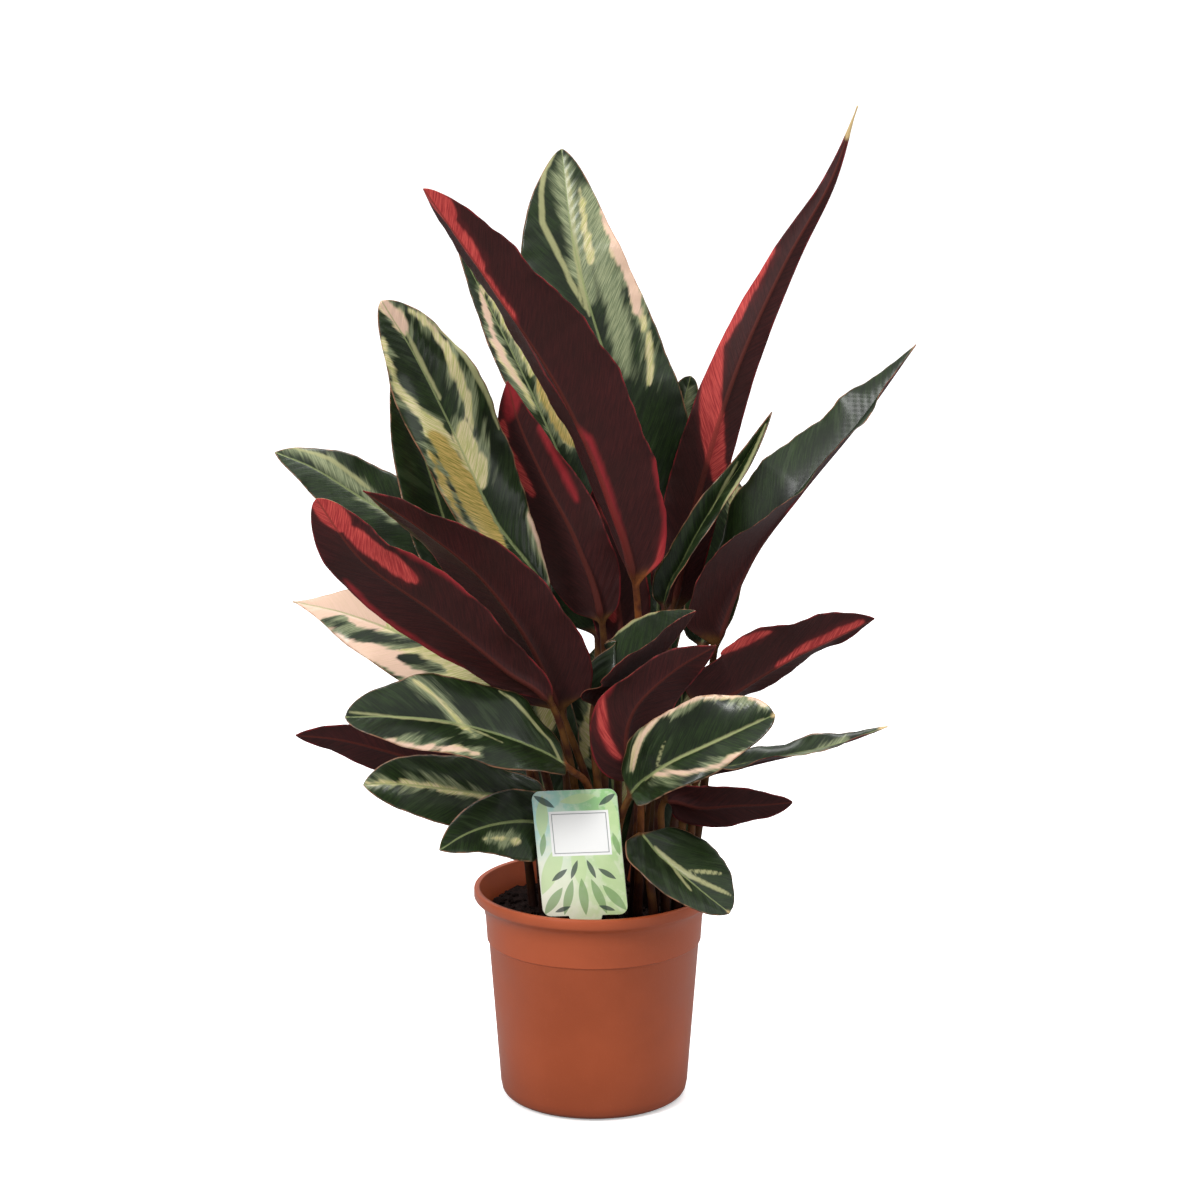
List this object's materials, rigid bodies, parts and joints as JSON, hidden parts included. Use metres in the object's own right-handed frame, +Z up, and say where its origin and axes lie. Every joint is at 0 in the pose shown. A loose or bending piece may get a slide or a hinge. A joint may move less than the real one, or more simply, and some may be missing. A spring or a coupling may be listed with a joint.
{
  "type": "potted variegated foliage plant",
  "caption": "Potted triostar stromanthe with long variegated leaves, wine red below, in a round nursery pot with a plant tag.",
  "frame": {"origin": "centre of the pot's flat underside, where the pot stands", "axes": "+Z up along the pot's axis; the front of the plant, with the tag, looks along -Y; +X to the right seen from the front"},
  "size_m": [0.3686, 0.2311, 0.5742],
  "materials": {
    "terracotta": "terracotta-coloured plastic, satin",
    "soil": "dark moist potting mix, crumbly and dull",
    "leaf": "glossy dark green above with cream and pink stripes, wine red below",
    "card": "thin printed plastic card"
  },
  "bodies": {
    "root": {"pot": "terracotta", "leaf_01": "leaf", "leaf_02": "leaf", "leaf_03": "leaf", "leaf_04": "leaf", "leaf_05": "leaf", "leaf_06": "leaf", "leaf_07": "leaf", "leaf_08": "leaf", "leaf_09": "leaf", "leaf_10": "leaf", "leaf_11": "leaf", "leaf_12": "leaf", "leaf_13": "leaf", "leaf_14": "leaf", "leaf_15": "leaf", "leaf_16": "leaf", "leaf_17": "leaf", "leaf_18": "leaf", "leaf_19": "leaf", "leaf_20": "leaf", "leaf_21": "leaf", "leaf_22": "leaf", "leaf_23": "leaf", "leaf_24": "leaf", "leaf_25": "leaf", "leaf_26": "leaf", "leaf_27": "leaf", "leaf_28": "leaf", "leaf_29": "leaf", "leaf_30": "leaf", "leaf_31": "leaf", "soil": "soil", "tag": "card"}
  },
  "joints": []
}
